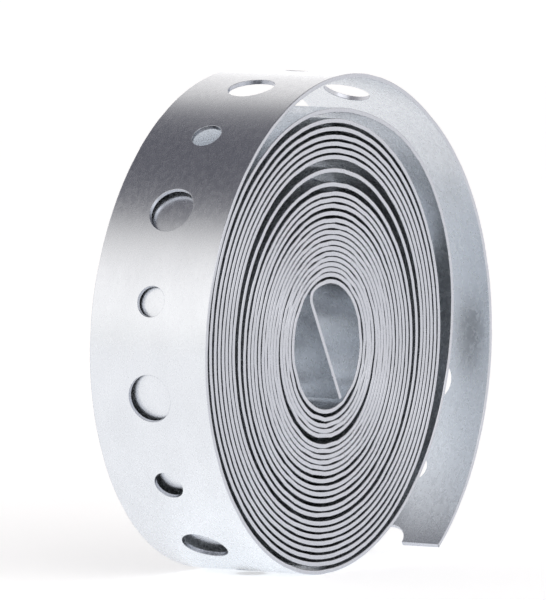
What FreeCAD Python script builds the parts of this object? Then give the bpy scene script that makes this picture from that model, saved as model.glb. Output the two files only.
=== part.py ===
"""Perforated steel strap: one thin galvanised strip, loosely wound into a coil that stands on its rim.

The coil's axis runs along Y and its front end faces -Y. Seen from there the strip winds clockwise:
a short leg lies across the bore, a tight fold joins it to the first turn, the turns get looser
towards the outside, and the last one springs away from the rest and comes down to the floor with
the edge of its free end. Lengths are millimetres. The origin is on the floor, under the middle of
the coil's box.
"""
import FreeCAD, Part
import math
import os
from FreeCAD import Placement, Rotation, Vector

SIZES = [
    # the strip
    ("strap_width", 19.05),
    ("strap_thickness", 0.65),
    ("large_hole_diameter", 6.75),
    ("small_hole_diameter", 4.37),
    ("hole_pitch", 13.66),
    ("punch_clearance", 0.03),
    # the turns, from the bore outwards
    ("coil_turns", 25),
    ("bore_above", 8.83),
    ("bore_below", 9.1),
    ("tight_gap", 0.08),
    ("loosening", 0.32),
    ("outer_turn_gap", 0.3),
    ("parting_gap", 0.05),
    # the inner end
    ("fold_radius", 1.5),
    ("fold_position", 114.0),
    ("leg_slope", 119.5),
    ("leg_clearance", 0.25),
    # the last turn of the coil bulges at its upper right, on a wide arc and then a close one
    ("bulge_wider", 12.9),
    ("bulge_closer", 4.1),
    ("bulge_corner_start", 66.8),
    ("bulge_corner_end", -3.4),
    # the outermost turn: how much wider each of its arcs is than the coil, and where each one starts
    ("left_arc_wider", 6.5),
    ("left_arc_start", 162.0),
    ("top_arc_wider", 17.0),
    ("top_arc_start", 64.0),
    ("right_arc_wider", 4.7),
    ("right_arc_start", 49.4),
    ("free_end_clearance", 0.65),
]
# places where a turn has sprung away from the one inside it, above and below the bore
SLACK_ABOVE = {1: 0.2, 12: 0.15, 13: 0.2, 16: 0.4, 17: 1.1, 18: 0.95, 22: 0.15, 23: 0.15, 24: 0.45}
SLACK_BELOW = {1: 0.4, 2: 0.15, 5: 0.65, 11: 0.2, 12: 0.2, 14: 0.1, 15: 0.25, 17: 0.25, 24: 0.1}

UP = math.radians(90)
DOWN = math.radians(270)


def make_sheet(doc):
    """A table of the sizes, each with its name beside it."""
    rows = list(SIZES)
    rows += [(f"slack_above_{turn}", slack) for turn, slack in SLACK_ABOVE.items()]
    rows += [(f"slack_below_{turn}", slack) for turn, slack in SLACK_BELOW.items()]
    sheet = doc.addObject("Spreadsheet::Sheet", "Sizes")
    for row, (alias, value) in enumerate(rows, start=1):
        sheet.set(f"A{row}", alias)
        sheet.set(f"B{row}", str(value))
        sheet.setAlias(f"B{row}", alias)
    doc.recompute()
    return sheet


def outward(angle):
    """The unit vector at an angle in the plane of the coil's ends, counted from +X towards +Z."""
    return Vector(math.cos(angle), 0, math.sin(angle))


class Arc:
    """A stretch of the strip's middle line that turns clockwise about a centre, from one angle to another."""

    def __init__(self, centre, radius, start, end):
        self.centre, self.radius = centre, radius
        self.start, self.end = start, end
        self.length = radius * (start - end)

    def place(self, angle, side=0.0):
        return self.centre + outward(angle) * (self.radius + side)

    def curve(self, side):
        circle = Part.Circle(flat(self.centre), Vector(0, 0, 1), self.radius + side)
        return Part.ArcOfCircle(circle, self.end, self.start)

    def at(self, along):
        """The point that far along the stretch, and the direction out of the strip's outer face."""
        angle = self.start - along / self.radius
        return self.place(angle), outward(angle)

    def next(self, radius, angle, end):
        """The arc of another radius that carries this one on smoothly from an angle."""
        return Arc(self.centre + outward(angle) * (self.radius - radius), radius, angle, end)


class Line:
    """A straight stretch of the strip's middle line."""

    def __init__(self, start, end):
        self.start, self.end = start, end
        self.length = (end - start).Length
        heading = (end - start) / self.length
        self.out = Vector(-heading.z, 0, heading.x)

    def curve(self, side):
        shift = self.out * side
        return Part.LineSegment(flat(self.start + shift), flat(self.end + shift))

    def at(self, along):
        return self.start + (self.end - self.start) * (along / self.length), self.out


def flat(point):
    """A point of the model's XZ plane in the drawing of the strip's edge."""
    return Vector(point.x, point.z, 0)


def gap_outside(turn, where, size):
    """The gap between a turn and the next one out, above or below the bore."""
    turns = round(size("coil_turns"))
    slack = SLACK_ABOVE if where == "above" else SLACK_BELOW
    gap = size("tight_gap") + size("loosening") * (turn / turns) ** 1.5
    if turn in slack:
        gap += size(f"slack_{where}_{turn}")
    return gap


def punch_reach(kind, radius, size):
    """How far past the strip's inner face a punch has to go, to clear the strip where it bends away."""
    hole_radius = size(f"{kind}_hole_diameter") / 2
    return hole_radius**2 / (2 * radius) + size("punch_clearance")


def inner_end(first_turn_centre, first_turn_radius, size):
    """The leg across the bore, the fold, and the short arc from it to the top of the first turn."""
    thickness = size("strap_thickness")
    fold_at = math.radians(size("fold_position"))
    slope = math.radians(size("leg_slope"))
    lead_in = Arc(first_turn_centre, first_turn_radius, fold_at, UP)
    fold_centre = lead_in.place(fold_at, -size("fold_radius"))
    fold = Arc(fold_centre, size("fold_radius"), slope + UP, fold_at)
    leg_top = fold.place(slope + UP)
    # the leg runs down its slope until its tip all but touches the far side of the bore
    down = Vector(-math.cos(slope), 0, -math.sin(slope))
    reach = first_turn_radius - thickness - size("leg_clearance")
    from_centre = leg_top - first_turn_centre
    across = from_centre.dot(down)
    leg_length = -across + math.sqrt(across**2 + reach**2 - from_centre.Length**2)
    return [Line(leg_top + down * leg_length, leg_top), fold, lead_in]


def strip_path(size):
    """The strip's middle line as tangent arcs and one line, from the tip in the bore to the free end."""
    thickness = size("strap_thickness")
    turns = round(size("coil_turns"))
    top = size("bore_above") + thickness / 2
    bottom = -size("bore_below") - thickness / 2
    path = inner_end(Vector(0, 0, (top + bottom) / 2), (top - bottom) / 2, size)
    for turn in range(1, turns):
        path.append(half_turn(top, bottom, UP, -UP))
        top += thickness + gap_outside(turn, "above", size)
        path.append(half_turn(top, bottom, DOWN, UP))
        gap = gap_outside(turn, "below", size)
        if turn == turns - 1:
            gap = max(gap, punched_turn_gap(path[-1].radius, size))
        bottom -= thickness + gap
    covered = path[-1]
    path += bulging_half_turn(top, bottom, size)
    return path + outermost_turn(path[-1].centre.x, bottom, covered, size)


def half_turn(top, bottom, start, end):
    """Half a turn between a place above the bore and one below it."""
    return Arc(Vector(0, 0, (top + bottom) / 2), (top - bottom) / 2, start, end)


def bulging_half_turn(top, bottom, size):
    """The last half turn before the outermost one: wide, close and then round to the bottom of the coil."""
    radius = (top - bottom) / 2
    corner_start = math.radians(size("bulge_corner_start"))
    corner_end = math.radians(size("bulge_corner_end"))
    wide_radius = radius + size("bulge_wider")
    wide = Arc(Vector(0, 0, top - wide_radius), wide_radius, UP, corner_start)
    corner = wide.next(radius - size("bulge_closer"), corner_start, corner_end)
    # the radius that brings the strip level just as it gets to the bottom
    sine = math.sin(corner_end)
    under_radius = (corner.centre.z + corner.radius * sine - bottom) / (1 + sine)
    return [wide, corner, corner.next(under_radius, corner_end, -UP)]


def outermost_turn(lowest_x, bottom, covered, size):
    """The turn that lies on the coil up its left side, and then springs away and down to the floor."""
    thickness = size("strap_thickness")
    beside = covered.radius + thickness + punched_turn_gap(covered.radius, size) + lowest_x
    radius = max(beside, parting_radius(lowest_x, bottom, covered, size))
    left_start = math.radians(size("left_arc_start"))
    top_start = math.radians(size("top_arc_start"))
    right_start = math.radians(size("right_arc_start"))
    on_coil = Arc(Vector(lowest_x, 0, bottom + radius), radius, DOWN, left_start)
    left = on_coil.next(radius + size("left_arc_wider"), left_start, top_start)
    over_top = left.next(radius + size("top_arc_wider"), top_start, right_start)
    right_radius = radius + size("right_arc_wider")
    centre = over_top.next(right_radius, right_start, 0).centre
    above_floor = centre.z - (bottom - thickness / 2) - size("free_end_clearance")
    free_end = -math.asin(above_floor / (right_radius + thickness / 2))
    return [on_coil, left, over_top, Arc(centre, right_radius, right_start, free_end)]


def parting_radius(lowest_x, bottom, covered, size):
    """The radius at which the outermost turn's left arc clears the covered turn where it parts from it."""
    wider = size("left_arc_wider")
    left_start = math.radians(size("left_arc_start"))
    gap = punch_reach("large", covered.radius, size) + size("parting_gap")
    # how far the arc's centre is from the covered turn's, and its radius past the clear one, both less the radius
    across = lowest_x - wider * math.cos(left_start)
    up = bottom - wider * math.sin(left_start) - covered.centre.z
    spare = wider - covered.radius - size("strap_thickness") - gap
    return (across**2 + up**2 - spare**2) / (2 * (spare - up))


def punched_turn_gap(covered_radius, size):
    """The gap under a turn whose holes are punched, so that no punch touches the turn below it."""
    return punch_reach("large", covered_radius, size) + size("outer_turn_gap")


def place_on(path, from_free_end):
    """The point of the middle line that far from the free end, the way outwards and the arc it is on."""
    for stretch in reversed(path):
        if from_free_end <= stretch.length:
            return (*stretch.at(stretch.length - from_free_end), stretch)
        from_free_end -= stretch.length
    raise ValueError("the strip is shorter than that")


def draw_outline(sketch, path, thickness):
    """The strip seen edge on: its outer face, its inner face and its two cut ends."""
    outer = [stretch.curve(thickness / 2) for stretch in path]
    inner = [stretch.curve(-thickness / 2) for stretch in path]
    tip, free_end = path[0], path[-1]
    cuts = [Part.LineSegment(flat(p - n * thickness / 2), flat(p + n * thickness / 2))
            for p, n in (tip.at(0), free_end.at(free_end.length))]
    sketch.addGeometry(outer + inner + cuts, False)


def add_strip(body, path, size):
    """The wound strip before it is punched."""
    edge_plane = next(f for f in body.Origin.OriginFeatures if f.Role == "XZ_Plane")
    sketch = body.newObject("Sketcher::SketchObject", "edge_view")
    sketch.AttachmentSupport = (edge_plane, [""])
    sketch.MapMode = "FlatFace"
    draw_outline(sketch, path, size("strap_thickness"))
    strip = body.newObject("PartDesign::Pad", "wound_strip")
    strip.Profile = sketch
    strip.Midplane = True
    strip.setExpression("Length", "Sizes.strap_width")


def punch_holes(body, path, size):
    """Large and small holes in turn, once round the coil. The free end is cut across a large one."""
    thickness = size("strap_thickness")
    once_round = 2 * math.pi * path[-1].radius
    for number in range(int(once_round / size("hole_pitch")) + 1):
        kind = "small" if number % 2 else "large"
        point, normal, arc = place_on(path, number * size("hole_pitch"))
        reach = punch_reach(kind, arc.radius - thickness / 2, size)
        hole = body.newObject("PartDesign::SubtractiveCylinder", f"{kind}_hole_{number}")
        hole.setExpression("Radius", f"Sizes.{kind}_hole_diameter / 2")
        hole.setExpression("Height", f"2 * Sizes.strap_thickness + {reach:.6f}")
        inner_end_of_punch = point - normal * (thickness / 2 + reach)
        hole.Placement = Placement(inner_end_of_punch, Rotation(Vector(0, 0, 1), normal))


def set_down(body, path, size):
    """Move the coil so that its lowest turn and the edge of its free end are on the floor."""
    box = body.Shape.optimalBoundingBox(False, False)
    on_coil = path[-4]
    lowest = on_coil.centre.z - on_coil.radius - size("strap_thickness") / 2
    body.Placement = Placement(Vector(-(box.XMin + box.XMax) / 2, 0, -lowest), Rotation())


def check(doc, bodies):
    for item in doc.Objects:
        if "Invalid" in item.State or "Error" in item.State:
            raise RuntimeError(f"{item.Label}: {item.State}")
    for body in bodies:
        shape = body.Shape
        if shape.isNull() or not shape.isValid() or len(shape.Solids) != 1:
            raise RuntimeError(f"{body.Label} is not one valid solid")


def main():
    doc = FreeCAD.newDocument("perforated_strap")
    sheet = make_sheet(doc)

    def size(name):
        return float(sheet.get(name))

    body = doc.addObject("PartDesign::Body", "strap")
    body.Label = "strap"
    path = strip_path(size)
    add_strip(body, path, size)
    punch_holes(body, path, size)
    doc.recompute()
    set_down(body, path, size)
    doc.recompute()
    check(doc, [body])
    os.makedirs("parts", exist_ok=True)
    body.Shape.exportStep(f"parts/{body.Label}.step")
    length = sum(stretch.length for stretch in path)
    print("strap", body.Shape.Volume, body.Shape.BoundBox, body.Shape.Solids[0].CenterOfMass, length)


main()
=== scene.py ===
"""A coil of perforated galvanised steel strap: the punched strip as wound, its finish and a stage.

The strip is laid out flat, as a row of cells that hold one hole each, and is then wound on the same
line as the solid part. Lengths are metres. The coil's axis runs along Y and its front end faces -Y.
"""

import math

import bpy
import numpy as np
from bpy.props import FloatProperty, FloatVectorProperty, IntProperty, PointerProperty
from mathutils import Matrix, Vector


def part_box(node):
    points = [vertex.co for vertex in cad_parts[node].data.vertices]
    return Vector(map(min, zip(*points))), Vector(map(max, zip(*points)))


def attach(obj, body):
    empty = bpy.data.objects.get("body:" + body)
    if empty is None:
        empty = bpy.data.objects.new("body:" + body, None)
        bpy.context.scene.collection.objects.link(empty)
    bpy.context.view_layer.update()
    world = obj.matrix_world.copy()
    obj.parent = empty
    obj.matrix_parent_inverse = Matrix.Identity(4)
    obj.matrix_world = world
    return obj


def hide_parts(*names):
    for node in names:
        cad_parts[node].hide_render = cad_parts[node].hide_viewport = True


bl_info = {
    "name": "Perforated strap coil",
    "version": (1, 0, 0),
    "blender": (4, 5, 0),
    "location": "View3D > Sidebar > Strap",
    "description": "Winds a coil of perforated galvanised steel strap and sets up its stage",
    "category": "Add Mesh",
}

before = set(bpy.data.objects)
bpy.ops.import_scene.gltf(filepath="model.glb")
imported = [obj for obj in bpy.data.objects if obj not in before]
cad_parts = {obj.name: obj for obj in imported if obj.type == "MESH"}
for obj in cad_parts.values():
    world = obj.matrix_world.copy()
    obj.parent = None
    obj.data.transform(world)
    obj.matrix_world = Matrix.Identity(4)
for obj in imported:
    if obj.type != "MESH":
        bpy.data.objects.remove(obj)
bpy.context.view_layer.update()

MM = 0.001
UP = math.radians(90)
DOWN = math.radians(270)
WHITE = (1.0, 1.0, 1.0, 1.0)

# how much wider, in millimetres, the gap outside a turn is where the turns have sprung apart,
# above the bore and below it, by the number of the turn
SLACK_ABOVE = {1: 0.2, 12: 0.15, 13: 0.2, 16: 0.4, 17: 1.1, 18: 0.95, 22: 0.15, 23: 0.15, 24: 0.45}
SLACK_BELOW = {1: 0.4, 2: 0.15, 5: 0.65, 11: 0.2, 12: 0.2, 14: 0.1, 15: 0.25, 17: 0.25, 24: 0.1}

# how the gaps widen on the way out apart from that: 1 is evenly, and more is mostly near the outside
LOOSENING_POWER = 1.5
# points of the winding line among which the coil's lowest and widest places are looked for
LINE_SAMPLES = 20000
# a bend of a smaller radius is the fold, and the strip has more columns of faces there
FOLD_LIMIT = 3 * MM
PLAIN_COLUMNS, FOLD_COLUMNS = 1, 10
# how near the middle of the last hole may be to the tip in the bore, in large holes
TIP_MARGIN = 1.3


def length_property(name, description, millimetres):
    return FloatProperty(name=name, description=description, default=millimetres * MM, min=0.0,
                         unit="LENGTH", subtype="DISTANCE", precision=5)


def angle_property(name, description, degrees):
    return FloatProperty(name=name, description=description, default=math.radians(degrees),
                         subtype="ANGLE")


def colour_property(name, description, hex_code):
    return FloatVectorProperty(name=name, description=description, default=linear(hex_code), size=3,
                               min=0.0, max=1.0, subtype="COLOR")


def linear(hex_code):
    """The linear colour of an sRGB hex code."""
    parts = [int(hex_code[i:i + 2], 16) / 255 for i in (1, 3, 5)]
    return tuple(c / 12.92 if c <= 0.04045 else ((c + 0.055) / 1.055) ** 2.4 for c in parts)


class StrapSizes(bpy.types.PropertyGroup):
    """The strip and the line it is wound on."""

    width: length_property("Width", "Width of the strap", 19.05)
    thickness: length_property("Thickness", "Thickness of the strap", 0.65)
    large_hole: length_property("Large hole", "Diameter of the large holes", 6.75)
    small_hole: length_property("Small hole", "Diameter of the small holes", 4.37)
    pitch: length_property("Pitch", "Distance from one hole to the next", 13.66)
    edge_round: length_property("Edge round", "Radius of the strap's slit edges", 0.14)
    hole_round: length_property("Hole round", "Radius of the edge of each hole", 0.07)
    turns: IntProperty(name="Turns", description="Turns in the tight part of the coil", default=25,
                       min=2)
    bore_above: length_property("Bore above", "Height of the bore above the coil's middle", 8.83)
    bore_below: length_property("Bore below", "Depth of the bore below the coil's middle", 9.1)
    tight_gap: length_property("Tight gap", "Gap between the innermost turns", 0.08)
    loosening: length_property("Loosening", "How much wider the outermost gaps are", 0.32)
    punch_clearance: length_property("Punch clearance", "How far past the strip its punch goes",
                                     0.03)
    outer_gap: length_property("Outer gap",
                               "Gap under the outermost turn, past the reach of its punch", 0.3)
    parting_gap: length_property("Parting gap",
                                 "The same gap where the outermost turn leaves the coil", 0.05)
    fold_radius: length_property("Fold radius", "Radius of the fold at the inner end", 1.5)
    fold_position: angle_property("Fold position", "Where the fold is on the innermost turn", 114.0)
    leg_slope: angle_property("Leg slope", "Slope of the leg across the bore", 119.5)
    leg_clearance: length_property("Leg clearance", "Gap between the tip of the leg and the bore",
                                   0.25)
    bulge_wider: length_property("Bulge wide arc", "Extra radius of the bulge's wide arc", 12.9)
    bulge_closer: length_property("Bulge corner", "How much closer the corner of the bulge is", 4.1)
    bulge_corner_start: angle_property("Corner start", "Where the corner of the bulge starts", 66.8)
    bulge_corner_end: angle_property("Corner end", "Where the corner of the bulge ends", -3.4)
    left_arc_wider: length_property("Left arc", "Extra radius of the outer turn's left arc", 6.5)
    left_arc_start: angle_property("Left start", "Where the outer turn leaves the coil", 162.0)
    top_arc_wider: length_property("Top arc", "Extra radius of the outer turn's top arc", 17.0)
    top_arc_start: angle_property("Top start", "Where the outer turn's top arc starts", 64.0)
    right_arc_wider: length_property("Right arc", "Extra radius of the outer turn's right arc", 4.7)
    right_arc_start: angle_property("Right start", "Where the outer turn's right arc starts", 49.4)
    free_end_clearance: length_property("Free end clearance",
                                        "Gap between the free end and the floor", 0.65)


class StrapLook(bpy.types.PropertyGroup):
    """Colours of the finish and of the stage."""

    zinc: colour_property("Zinc", "Colour of the galvanised faces", "#e5e9ee")
    zinc_dark: colour_property("Dull zinc", "Colour of the zinc's duller patches", "#dee2e7")
    # the cut edges are darker than the zinc: partly the cut steel's own colour, partly painted shade
    # in the hole walls and on the rims
    edge: colour_property("Edge", "Colour of the slit and punched edges", "#c4c7cf")
    floor: colour_property("Floor", "Colour of the floor", "#f4f4f4")
    roughness: FloatProperty(name="Roughness", description="Roughness of the zinc", default=0.26,
                             min=0.0, max=1.0, subtype="FACTOR")


def outward(angle):
    """The unit vector at an angle in the plane of the coil's ends, counted from +X towards +Z."""
    return np.array([math.cos(angle), math.sin(angle)])


class Arc:
    """A stretch of the strip's middle line that turns clockwise about a centre."""

    def __init__(self, centre, radius, start, end):
        self.centre, self.radius, self.start = np.array(centre, float), radius, start
        self.length = radius * (start - end)

    def at(self, along):
        """Points that far along the stretch, and the directions out of the strip's outer face."""
        angle = self.start - along / self.radius
        out = np.stack([np.cos(angle), np.sin(angle)], axis=-1)
        return self.centre + out * self.radius, out

    def next(self, radius, angle, end):
        """The arc of another radius that carries this one on smoothly from an angle."""
        return Arc(self.centre + outward(angle) * (self.radius - radius), radius, angle, end)


class Line:
    """A straight stretch of the strip's middle line."""

    radius = math.inf

    def __init__(self, start, end):
        self.start = start
        self.length = float(np.hypot(*(end - start)))
        self.heading = (end - start) / self.length
        self.out = np.array([-self.heading[1], self.heading[0]])

    def at(self, along):
        along = np.asarray(along)[..., None]
        return self.start + self.heading * along, self.out + 0 * along


def inner_end(centre, radius, sizes):
    """The leg across the bore, the fold, and the short arc from it to the top of the first turn."""
    lead_in = Arc(centre, radius, sizes.fold_position, UP)
    fold_centre = centre + outward(sizes.fold_position) * (radius - sizes.fold_radius)
    fold = Arc(fold_centre, sizes.fold_radius, sizes.leg_slope + UP, sizes.fold_position)
    leg_top = fold_centre + outward(sizes.leg_slope + UP) * sizes.fold_radius
    down = -outward(sizes.leg_slope)
    reach = radius - sizes.thickness - sizes.leg_clearance
    from_centre = leg_top - centre
    across = from_centre @ down
    leg_length = -across + math.sqrt(across**2 + reach**2 - from_centre @ from_centre)
    return [Line(leg_top + down * leg_length, leg_top), fold, lead_in]


def gap_outside(turn, slack, sizes):
    """The gap between a turn and the next one out."""
    loosened = sizes.loosening * (turn / sizes.turns) ** LOOSENING_POWER
    return sizes.tight_gap + loosened + slack.get(turn, 0) * MM


def half_turn(top, bottom, start, end):
    """Half of a tight turn, between the heights of its top and its bottom."""
    return Arc((0, (top + bottom) / 2), (top - bottom) / 2, start, end)


def bulging_half_turn(top, bottom, sizes):
    """The last half turn before the outermost one: wide, close and then round to the bottom."""
    radius = (top - bottom) / 2
    wide_radius = radius + sizes.bulge_wider
    wide = Arc((0, top - wide_radius), wide_radius, UP, sizes.bulge_corner_start)
    corner = wide.next(radius - sizes.bulge_closer, sizes.bulge_corner_start,
                       sizes.bulge_corner_end)
    sine = math.sin(sizes.bulge_corner_end)
    under_radius = (corner.centre[1] + corner.radius * sine - bottom) / (1 + sine)
    return [wide, corner, corner.next(under_radius, sizes.bulge_corner_end, -UP)]


def punch_reach(radius, sizes):
    """How far past the strip's inner face the large holes' punch has to go."""
    return (sizes.large_hole / 2) ** 2 / (2 * radius) + sizes.punch_clearance


def parting_radius(lowest_x, bottom, covered, sizes):
    """The outermost turn's radius that holds it clear of the covered turn where they part."""
    wider, angle = sizes.left_arc_wider, sizes.left_arc_start
    gap = punch_reach(covered.radius, sizes) + sizes.parting_gap
    across = lowest_x - wider * math.cos(angle)
    up = bottom - wider * math.sin(angle) - covered.centre[1]
    spare = wider - covered.radius - sizes.thickness - gap
    return (across**2 + up**2 - spare**2) / (2 * (spare - up))


def outermost_turn(lowest_x, bottom, covered, sizes):
    """The turn that lies on the coil up its left side, then springs away and down to the floor."""
    gap = punch_reach(covered.radius, sizes) + sizes.outer_gap
    beside = covered.radius + sizes.thickness + gap + lowest_x
    radius = max(beside, parting_radius(lowest_x, bottom, covered, sizes))
    on_coil = Arc((lowest_x, bottom + radius), radius, DOWN, sizes.left_arc_start)
    left = on_coil.next(radius + sizes.left_arc_wider, sizes.left_arc_start, sizes.top_arc_start)
    over_top = left.next(radius + sizes.top_arc_wider, sizes.top_arc_start, sizes.right_arc_start)
    right_radius = radius + sizes.right_arc_wider
    right = over_top.next(right_radius, sizes.right_arc_start, 0)
    # the free end stops just clear of the floor
    above_floor = right.centre[1] - bottom + sizes.thickness / 2 - sizes.free_end_clearance
    free_end = -math.asin(above_floor / (right_radius + sizes.thickness / 2))
    right = over_top.next(right_radius, sizes.right_arc_start, free_end)
    return [on_coil, left, over_top, right]


def strip_path(sizes):
    """The strip's middle line about the middle of the coil, from its tip to its free end."""
    top = sizes.bore_above + sizes.thickness / 2
    bottom = -sizes.bore_below - sizes.thickness / 2
    path = inner_end(np.array([0, (top + bottom) / 2]), (top - bottom) / 2, sizes)
    for turn in range(1, sizes.turns):
        path.append(half_turn(top, bottom, UP, -UP))
        top += sizes.thickness + gap_outside(turn, SLACK_ABOVE, sizes)
        path.append(half_turn(top, bottom, DOWN, UP))
        bottom -= sizes.thickness + gap_outside(turn, SLACK_BELOW, sizes)
    covered = path[-1]
    path += bulging_half_turn(top, bottom, sizes)
    return path + outermost_turn(path[-1].centre[0], bottom, covered, sizes)


class Winding:
    """Where any point of the flat strip goes when it is wound."""

    def __init__(self, sizes):
        self.path = strip_path(sizes)
        self.ends = np.cumsum([stretch.length for stretch in self.path])
        self.length = self.ends[-1]
        # the coil stands where the solid part stands
        low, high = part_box("strap")
        points, out = self.line(np.linspace(0, self.length, LINE_SAMPLES))
        outer = points + out * sizes.thickness / 2
        middle = (outer[:, 0].min() + outer[:, 0].max()) / 2
        self.shift = np.array([(low[0] + high[0]) / 2 - middle, low[2] - outer[:, 1].min()])

    def line(self, along):
        """Points of the middle line and the directions outwards, for an array of distances."""
        along = np.clip(along, 0, self.length)
        index = np.minimum(np.searchsorted(self.ends, along), len(self.path) - 1)
        points, out = np.empty((len(along), 2)), np.empty((len(along), 2))
        for number in np.unique(index):
            stretch, chosen = self.path[number], index == number
            start = self.ends[number] - stretch.length
            points[chosen], out[chosen] = stretch.at(along[chosen] - start)
        return points, out

    def wind(self, flat, flat_normals):
        """Wound places and normals of points of the flat strip: along, across and outwards."""
        points, out = self.line(flat[:, 0])
        points = points + self.shift + out * flat[:, 2:3]
        ahead = np.stack([out[:, 1], -out[:, 0]], axis=-1)
        turned = ahead * flat_normals[:, 0:1] + out * flat_normals[:, 2:3]
        places = np.stack([points[:, 0], flat[:, 1], points[:, 1]], axis=-1)
        normals = np.stack([turned[:, 0], flat_normals[:, 1], turned[:, 1]], axis=-1)
        return places, normals

    def is_folded(self, start, end):
        """Whether a tight fold lies between two distances."""
        for stretch, stop in zip(self.path, self.ends):
            if stretch.radius < FOLD_LIMIT and start < stop and end > stop - stretch.length:
                return True
        return False


class FlatMesh:
    """Points, normals and four-sided faces of the flat strip, collected piece by piece."""

    def __init__(self):
        self.points, self.normals, self.faces, self.edge = [], [], [], []
        self.count = 0

    def add_points(self, points, normals, edge=0.0):
        """Keep points with their normals, and say by which numbers faces reach them."""
        points = np.asarray(points, float).reshape(-1, 3)
        normals = np.broadcast_to(np.asarray(normals, float), points.shape)
        self.points.append(points)
        self.normals.append(normals)
        self.edge.append(np.full(len(points), edge))
        first = self.count
        self.count += len(points)
        return np.arange(first, self.count)

    def add_faces(self, *corners, flip=False):
        quads = np.stack([np.asarray(c).ravel() for c in corners], axis=-1)
        self.faces.append(quads[:, ::-1] if flip else quads)

    def add_bands(self, rows, flip=False):
        """Faces between rows of points of the same length."""
        for near, far in zip(rows[:-1], rows[1:]):
            self.add_faces(near[:-1], near[1:], far[1:], far[:-1], flip=flip)


# the faces round a hole fill a square: how many it has to a side, and the corner they start from
SIDE = 8
FIRST_CORNER = math.radians(-135)
# half the square's side: the hole's radius this many times, and this much past it
SQUARE_PER_HOLE, SQUARE_MARGIN = 1.25, 0.5 * MM
# how far out from the hole's rim (0) to its square (1) the rings of points lie
RING_SHARES = (0.45, 0.0)
# the points on the rounding of a slit edge, in degrees from straight out
EDGE_ANGLES = (45, 0)
# less than any length that counts
TINY = 1e-9


def at_height(places, height):
    """Points of the flat strip at one height above its middle, from places along and across it."""
    return np.column_stack([places, np.full(len(places), height)])


def cell_columns(before, after, reach, border):
    """Where the columns of a cell lie along the strip, about the middle of its hole."""
    inner = np.linspace(-reach, reach, SIDE + 1)
    left = np.linspace(-before, -reach, border + 1)[:-1]
    right = np.linspace(reach, max(after, reach), border + 1)[1:]
    return np.concatenate([left, inner, right])


def add_cell(mesh, middle, hole_radius, sizes, start, end, border):
    """One stretch of the strip, with its hole."""
    thick = sizes.thickness / 2
    flat_half = sizes.width / 2 - sizes.edge_round
    reach = hole_radius * SQUARE_PER_HOLE + SQUARE_MARGIN
    columns = cell_columns(middle - start, end - middle, reach, border)
    rows = np.concatenate([[-flat_half], np.linspace(-reach, reach, SIDE + 1), [flat_half]])
    along = middle + columns
    first, last = border, border + SIDE
    # a cell at the free end stops in the middle of its hole
    half_only = end < middle + reach
    stop = border + SIDE // 2 if half_only else len(columns) - 1

    # the square round the hole, anticlockwise from its lower left corner
    steps = np.arange(SIDE)
    square_columns = np.concatenate([first + steps, np.full(SIDE, last), last - steps,
                                     np.full(SIDE, first)])
    square_rows = np.concatenate([np.ones(SIDE, int), 1 + steps, np.full(SIDE, SIDE + 1),
                                  SIDE + 1 - steps])
    angles = FIRST_CORNER + np.arange(4 * SIDE) * math.radians(360 / (4 * SIDE))
    circle = np.stack([np.cos(angles), np.sin(angles)], axis=-1)
    square = np.stack([columns[square_columns], rows[square_rows]], axis=-1)
    rim = circle * (hole_radius + sizes.hole_round)
    hole_middle = (middle, 0)
    inside_end = columns[square_columns] <= columns[stop] + TINY

    # the outer face and the inner one
    rims, faces = {}, {}
    for side in (1, -1):
        height = side * thick
        grid = np.array([[(a, row, height) for row in rows] for a in along])
        ids = mesh.add_points(grid, (0, 0, side)).reshape(len(along), len(rows))
        solid = np.ones((len(columns) - 1, len(rows) - 1), bool)
        solid[first:last, 1:SIDE + 1] = False
        solid[stop:] = False
        column, row = np.nonzero(solid)
        mesh.add_faces(ids[column, row], ids[column + 1, row], ids[column + 1, row + 1],
                       ids[column, row + 1], flip=side < 0)
        rings = [ids[square_columns, square_rows]]
        for share in RING_SHARES:
            ring = rim * (1 - share) + square * share + hole_middle
            rings.append(mesh.add_points(at_height(ring, height), (0, 0, side)))
        add_ring_bands(mesh, rings, inside_end, side > 0)
        rims[side], faces[side] = rings[-1], ids[:stop + 1]

    # the punched wall
    punched = circle * hole_radius + hole_middle
    inwards = np.column_stack([-circle, np.zeros(len(circle))])
    wall = [mesh.add_points(at_height(punched, height), inwards, edge=1.0)
            for height in (thick - sizes.hole_round, -thick + sizes.hole_round)]
    add_ring_bands(mesh, [rims[1], *wall, rims[-1]], inside_end, True)

    # the slit edges, along the faces' first row and their last
    for side, row in ((-1, 0), (1, -1)):
        bands = [faces[1][:, row]]
        for across, height, lean_out, lean_up in edge_profile(sizes):
            slit = np.column_stack([along[:stop + 1], np.full(stop + 1, side * across)])
            bands.append(mesh.add_points(at_height(slit, height), (0, side * lean_out, lean_up),
                                         edge=1.0))
        bands.append(faces[-1][:, row])
        mesh.add_bands(bands, flip=side < 0)


def add_ring_bands(mesh, rings, inside_end, outer):
    """Faces between rings round a hole, left open past the strip's end."""
    keep = inside_end & np.roll(inside_end, -1)
    for near, far in zip(rings[:-1], rings[1:]):
        a, b = near, np.roll(near, -1)
        c, d = np.roll(far, -1), far
        mesh.add_faces(a[keep], b[keep], c[keep], d[keep], flip=not outer)


def edge_profile(sizes):
    """The slit edge from the outer face to the inner one: across, height and the normal's parts."""
    half, thick, radius = sizes.width / 2, sizes.thickness / 2, sizes.edge_round
    profile = []
    for angle in EDGE_ANGLES:
        c, s = math.cos(math.radians(angle)), math.sin(math.radians(angle))
        profile.append((half - radius + radius * c, thick - radius + radius * s, c, s))
    return profile + [(across, -height, c, -s) for across, height, c, s in reversed(profile)]


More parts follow.
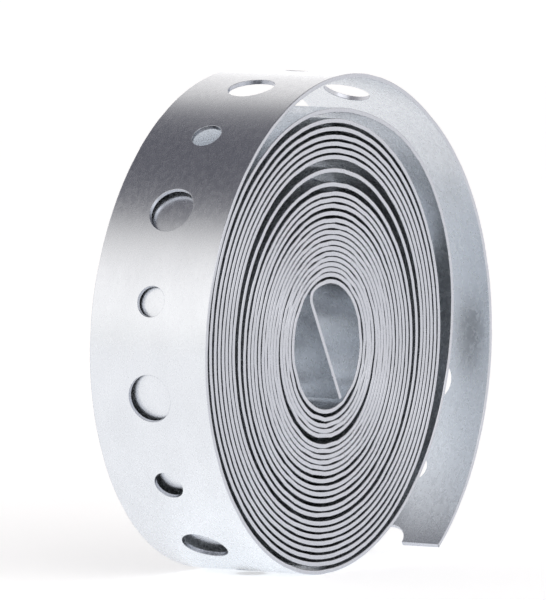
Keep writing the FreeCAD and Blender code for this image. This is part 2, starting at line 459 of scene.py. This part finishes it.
def add_cap(mesh, along, widths, sizes, ahead):
    """A flat cut across the strip between pairs of widths."""
    thick = sizes.thickness / 2
    for low, high in widths:
        corners = [(along, low, -thick), (along, high, -thick), (along, high, thick),
                   (along, low, thick)]
        mesh.add_faces(*mesh.add_points(corners, (ahead, 0, 0), edge=1.0), flip=ahead < 0)


def flat_strip(winding, sizes):
    """The whole strip, punched, from the tip in the bore to the free end."""
    mesh = FlatMesh()
    total, half_width = winding.length, sizes.width / 2 - sizes.edge_round / 2
    # the free end is cut across a hole
    count = int((total - TIP_MARGIN * sizes.large_hole) / sizes.pitch) + 1
    middles = total - np.arange(count) * sizes.pitch
    joins = np.concatenate([[total], (middles[:-1] + middles[1:]) / 2, [0.0]])
    for number, middle in enumerate(middles):
        end, start = joins[number], joins[number + 1]
        border = FOLD_COLUMNS if winding.is_folded(start, end) else PLAIN_COLUMNS
        hole = sizes.small_hole if number % 2 else sizes.large_hole
        add_cell(mesh, middle, hole / 2, sizes, start, end, border)
    notch = sizes.large_hole / 2
    add_cap(mesh, total, [(-half_width, -notch), (notch, half_width)], sizes, 1)
    add_cap(mesh, 0.0, [(-half_width, half_width)], sizes, -1)
    return mesh


def build_mesh(name, flat, winding):
    """The wound strip as a mesh, which keeps the flat strip's places as its UV map."""
    points, flat_normals = np.concatenate(flat.points), np.concatenate(flat.normals)
    places, normals = winding.wind(points, flat_normals)
    faces = np.concatenate(flat.faces)
    mesh = bpy.data.meshes.new(name)
    mesh.vertices.add(len(places))
    mesh.vertices.foreach_set("co", places.astype(np.float32).ravel())
    mesh.loops.add(faces.size)
    mesh.loops.foreach_set("vertex_index", faces.astype(np.int32).ravel())
    mesh.polygons.add(len(faces))
    mesh.polygons.foreach_set("loop_start", np.arange(0, faces.size, 4, dtype=np.int32))
    mesh.update(calc_edges=True)
    uv = mesh.uv_layers.new(name="strip")
    uv.data.foreach_set("uv", points[faces.ravel()][:, :2].astype(np.float32).ravel())
    # the cut edges are marked for their darker colour, which is partly painted shade in the hole
    # walls and on the rims
    edge = mesh.attributes.new("cut_edge_and_shade", "FLOAT", "POINT")
    edge.data.foreach_set("value", np.concatenate(flat.edge).astype(np.float32))
    mesh.validate()
    mesh.shade_smooth()
    mesh.normals_split_custom_set_from_vertices(normals.astype(np.float32))
    return mesh


def add_node(tree, kind, inputs=None, **settings):
    """A shader node with its settings, and its inputs linked or set."""
    node = tree.nodes.new(kind)
    for key, value in settings.items():
        setattr(node, key, value)
    for key, value in (inputs or {}).items():
        socket = node.inputs[key] if isinstance(key, int) else in_use(node.inputs, key)
        if isinstance(value, bpy.types.NodeSocket):
            tree.links.new(value, socket)
        else:
            socket.default_value = value
    return node


def in_use(sockets, name):
    """The socket of that name that the node's settings leave in use."""
    return next(socket for socket in sockets if socket.name == name and socket.enabled)


def new_material(name):
    material = bpy.data.materials.new(name)
    material.use_nodes = True
    tree = material.node_tree
    tree.nodes.clear()
    return material, tree


def opaque(colour):
    return (*colour, 1.0)


# sizes along and across the strip: the zinc's fine grain, about 1.1 by 0.8 mm, and its slow clouds,
# about 11 by 6 mm
GRAIN_SIZE = (MM * 10 / 9, MM * 10 / 13)
CLOUD_SIZE = (MM * 100 / 9, MM * 100 / 16)
# how much smoother and rougher than the rest the grain's two extremes are, and how deep it goes
SMOOTHER, ROUGHER = 0.03, 0.04
GRAIN_DEPTH = 0.03 * MM


def per_metre(size):
    """How often a pattern of that size fits into a metre, along and across the strip."""
    return (1 / size[0], 1 / size[1], 1.0)


def galvanised_steel(look):
    """Hot-dip galvanised strip: satin zinc, faintly clouded and grained; cut edges plainer and
    darker, partly painted shade.
    """
    material, tree = new_material("galvanised_steel")
    flat = add_node(tree, "ShaderNodeUVMap", uv_map="strip").outputs["UV"]
    # the grain shows as a slight unevenness of the shine
    fine = add_node(tree, "ShaderNodeMapping", {"Vector": flat, "Scale": per_metre(GRAIN_SIZE)})
    grain = add_node(tree, "ShaderNodeTexNoise", {"Vector": fine.outputs["Vector"], "Scale": 1.0,
                                                  "Detail": 2.0, "Roughness": 0.6})
    # the clouds are patches of a duller zinc
    slow = add_node(tree, "ShaderNodeMapping", {"Vector": flat, "Scale": per_metre(CLOUD_SIZE)})
    clouds = add_node(tree, "ShaderNodeTexNoise", {"Vector": slow.outputs["Vector"], "Scale": 1.0,
                                                   "Detail": 3.0, "Roughness": 0.5})
    dull = add_node(tree, "ShaderNodeMapRange",
                    {"Value": clouds.outputs["Fac"], "From Min": 0.35, "From Max": 0.75,
                     "To Min": 0.0, "To Max": 1.0})
    zinc = add_node(tree, "ShaderNodeMix",
                    {"Factor": dull.outputs["Result"], "A": opaque(look.zinc),
                     "B": opaque(look.zinc_dark)}, data_type="RGBA")
    # the cut edges take their darker colour: partly the cut steel's own, partly painted shade in the
    # hole walls and on the rims
    edge = add_node(tree, "ShaderNodeAttribute", attribute_name="cut_edge_and_shade")
    colour = add_node(tree, "ShaderNodeMix",
                      {"Factor": edge.outputs["Fac"], "A": in_use(zinc.outputs, "Result"),
                       "B": opaque(look.edge)}, data_type="RGBA")
    rough = add_node(tree, "ShaderNodeMapRange",
                     {"Value": grain.outputs["Fac"], "From Min": 0.3, "From Max": 0.7,
                      "To Min": look.roughness - SMOOTHER, "To Max": look.roughness + ROUGHER})
    bump = add_node(tree, "ShaderNodeBump", {"Height": grain.outputs["Fac"], "Strength": 0.05,
                                             "Distance": GRAIN_DEPTH})
    shader = add_node(tree, "ShaderNodeBsdfPrincipled",
                      {"Base Color": in_use(colour.outputs, "Result"), "Metallic": 1.0,
                       "Roughness": rough.outputs["Result"], "Normal": bump.outputs["Normal"]})
    add_node(tree, "ShaderNodeOutputMaterial", {"Surface": shader.outputs["BSDF"]})
    return material


def seen_directly(tree):
    """One for rays from the camera and rays that a shiny or clear surface sends on, or nought."""
    path = add_node(tree, "ShaderNodeLightPath").outputs
    seen = path["Is Camera Ray"]
    for ray in ("Is Glossy Ray", "Is Transmission Ray"):
        either = add_node(tree, "ShaderNodeMath", {0: seen, 1: path[ray]}, operation="MAXIMUM")
        seen = either.outputs["Value"]
    return seen


FLOOR_SIZE = 60.0
# how much light is added to the floor's own where it is seen, so that it comes out white
FLOOR_LIFT = 0.46


def stage_material(look):
    """A pale floor that the camera sees white, apart from the object's shadow."""
    material, tree = new_material("stage_floor")
    plain = add_node(tree, "ShaderNodeBsdfDiffuse", {"Color": opaque(look.floor)})
    lift = add_node(tree, "ShaderNodeEmission", {"Color": WHITE, "Strength": FLOOR_LIFT})
    lifted = add_node(tree, "ShaderNodeAddShader",
                      {0: plain.outputs["BSDF"], 1: lift.outputs["Emission"]})
    mixed = add_node(tree, "ShaderNodeMixShader",
                     {0: seen_directly(tree), 1: plain.outputs["BSDF"],
                      2: lifted.outputs["Shader"]})
    add_node(tree, "ShaderNodeOutputMaterial", {"Surface": mixed.outputs["Shader"]})
    return material


# light from the surroundings in red, green and blue, by height: 0 is the horizon and all below it,
# and 1 is straight up
SURROUNDINGS = (
    (0.0, (0.98, 0.955, 0.935)),
    (0.15, (1.1, 1.07, 1.045)),
    (0.45, (1.08, 1.04, 1.02)),
    (0.65, (0.83, 0.8, 0.78)),
    (0.76, (0.18, 0.175, 0.195)),
    (0.82, (0.11, 0.108, 0.13)),
    (1.0, (0.085, 0.082, 0.1)),
)


def add_world():
    """Soft studio surroundings: pale all round, with a dark ceiling, and white for the camera."""
    world = bpy.data.worlds.new("studio")
    bpy.context.scene.world = world
    world.use_nodes = True
    tree = world.node_tree
    tree.nodes.clear()
    ray = add_node(tree, "ShaderNodeTexCoord")
    parts = add_node(tree, "ShaderNodeSeparateXYZ", {"Vector": ray.outputs["Generated"]})
    ramp = add_node(tree, "ShaderNodeValToRGB", {"Fac": parts.outputs["Z"]})
    levels = ramp.color_ramp
    levels.elements.remove(levels.elements[1])
    for number, (height, colour) in enumerate(SURROUNDINGS):
        element = levels.elements[0] if number == 0 else levels.elements.new(height)
        element.position = height
        element.color = opaque(colour)
    path = add_node(tree, "ShaderNodeLightPath")
    around = add_node(tree, "ShaderNodeBackground",
                      {"Color": ramp.outputs["Color"], "Strength": 1.0})
    white = add_node(tree, "ShaderNodeBackground", {"Color": WHITE, "Strength": 1.0})
    mixed = add_node(tree, "ShaderNodeMixShader",
                     {0: path.outputs["Is Camera Ray"], 1: around.outputs["Background"],
                      2: white.outputs["Background"]})
    add_node(tree, "ShaderNodeOutputWorld", {"Surface": mixed.outputs["Shader"]})


# each lamp's name, place, the point that it lights, its width in metres and its power in watts
LAMPS = (
    ("left", (-1.1, 0.2, 0.5), (0, 0, 0.03), 1.2, 0.4),
    ("front", (-0.5, -1.0, 1.1), (0, 0, 0), 1.6, 5.0),
    ("behind", (1.2, 0.75, 0.2), (0, 0, 0.03), 0.6, 0.3),
)


def add_lamp(name, place, target, size, watts):
    """A round, soft lamp that faces its target."""
    data = bpy.data.lights.new(name, "AREA")
    data.shape = "DISK"
    data.size = size
    data.energy = watts
    lamp = bpy.data.objects.new(name, data)
    lamp.location = place
    towards = Vector(target) - Vector(place)
    lamp.rotation_euler = towards.to_track_quat("-Z", "Y").to_euler()
    bpy.context.scene.collection.objects.link(lamp)


# the photo's view: how far round, above and away the camera is, how large it sees the coil, and
# where in the frame it sees the middle of the coil's front end
AZIMUTH = math.radians(-59.2)
ELEVATION = math.radians(5.2)
DISTANCE = 1.6145
PIXELS_PER_METRE = 7038.0
FRAME_WIDTH, FRAME_HEIGHT = 546, 600
COIL_PIXEL = (328.6, 345.5)
SENSOR_HEIGHT_MM = 24.0
CLIP_START = 0.05


def add_camera(coil_middle):
    """The photo's camera, placed from the middle of the coil's front end."""
    back = Vector((math.sin(AZIMUTH) * math.cos(ELEVATION),
                   -math.cos(AZIMUTH) * math.cos(ELEVATION), math.sin(ELEVATION)))
    right = Vector((math.cos(AZIMUTH), math.sin(AZIMUTH), 0))
    up = back.cross(right)
    data = bpy.data.cameras.new("camera")
    data.sensor_fit = "VERTICAL"
    data.sensor_height = SENSOR_HEIGHT_MM
    data.lens = SENSOR_HEIGHT_MM * DISTANCE * PIXELS_PER_METRE / FRAME_HEIGHT
    data.clip_start = CLIP_START
    camera = bpy.data.objects.new("camera", data)
    across = (FRAME_WIDTH / 2 - COIL_PIXEL[0]) / PIXELS_PER_METRE
    down = (FRAME_HEIGHT / 2 - COIL_PIXEL[1]) / PIXELS_PER_METRE
    place = coil_middle + back * DISTANCE + right * across - up * down
    turn = Matrix((right, up, back)).transposed()
    camera.matrix_world = Matrix.Translation(place) @ turn.to_4x4()
    bpy.context.scene.collection.objects.link(camera)
    bpy.context.scene.camera = camera


class STRAP_OT_coil(bpy.types.Operator):
    """Wind the punched strip and give it its galvanised finish"""

    bl_idname = "strap.coil"
    bl_label = "Wind the coil"

    def execute(self, context):
        sizes, look = context.scene.strap_sizes, context.scene.strap_look
        winding = Winding(sizes)
        mesh = build_mesh("wound_strap", flat_strip(winding, sizes), winding)
        coil = bpy.data.objects.new("wound_strap", mesh)
        coil.data.materials.append(galvanised_steel(look))
        context.scene.collection.objects.link(coil)
        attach(coil, "root")
        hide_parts("strap")
        return {"FINISHED"}


class STRAP_OT_stage(bpy.types.Operator):
    """Add the floor, the light and the camera"""

    bl_idname = "strap.stage"
    bl_label = "Set the stage"

    def execute(self, context):
        scene = context.scene
        bpy.ops.mesh.primitive_plane_add(size=FLOOR_SIZE, location=(0, 0, 0))
        floor = context.object
        floor.name = "floor"
        floor.data.materials.append(stage_material(scene.strap_look))
        add_world()
        for lamp in LAMPS:
            add_lamp(*lamp)
        winding = Winding(scene.strap_sizes)
        low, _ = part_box("strap")
        add_camera(Vector((winding.shift[0], low[1], winding.shift[1])))
        scene.view_settings.view_transform = "Standard"
        return {"FINISHED"}


class STRAP_PT_panel(bpy.types.Panel):
    """The strap's tools in the sidebar"""

    bl_idname = "STRAP_PT_panel"
    bl_label = "Perforated strap"
    bl_space_type = "VIEW_3D"
    bl_region_type = "UI"
    bl_category = "Strap"

    def draw(self, context):
        for operator in OPERATORS:
            self.layout.operator(operator.bl_idname)
        for group in (context.scene.strap_sizes, context.scene.strap_look):
            for name in group.__annotations__:
                self.layout.prop(group, name)


OPERATORS = (STRAP_OT_coil, STRAP_OT_stage)
CLASSES = (StrapSizes, StrapLook, *OPERATORS, STRAP_PT_panel)


def register():
    for cls in CLASSES:
        bpy.utils.register_class(cls)
    bpy.types.Scene.strap_sizes = PointerProperty(type=StrapSizes)
    bpy.types.Scene.strap_look = PointerProperty(type=StrapLook)


def unregister():
    del bpy.types.Scene.strap_look
    del bpy.types.Scene.strap_sizes
    for cls in reversed(CLASSES):
        bpy.utils.unregister_class(cls)


def main():
    register()
    bpy.ops.strap.coil()
    bpy.ops.strap.stage()


if __name__ == "__main__":
    main()
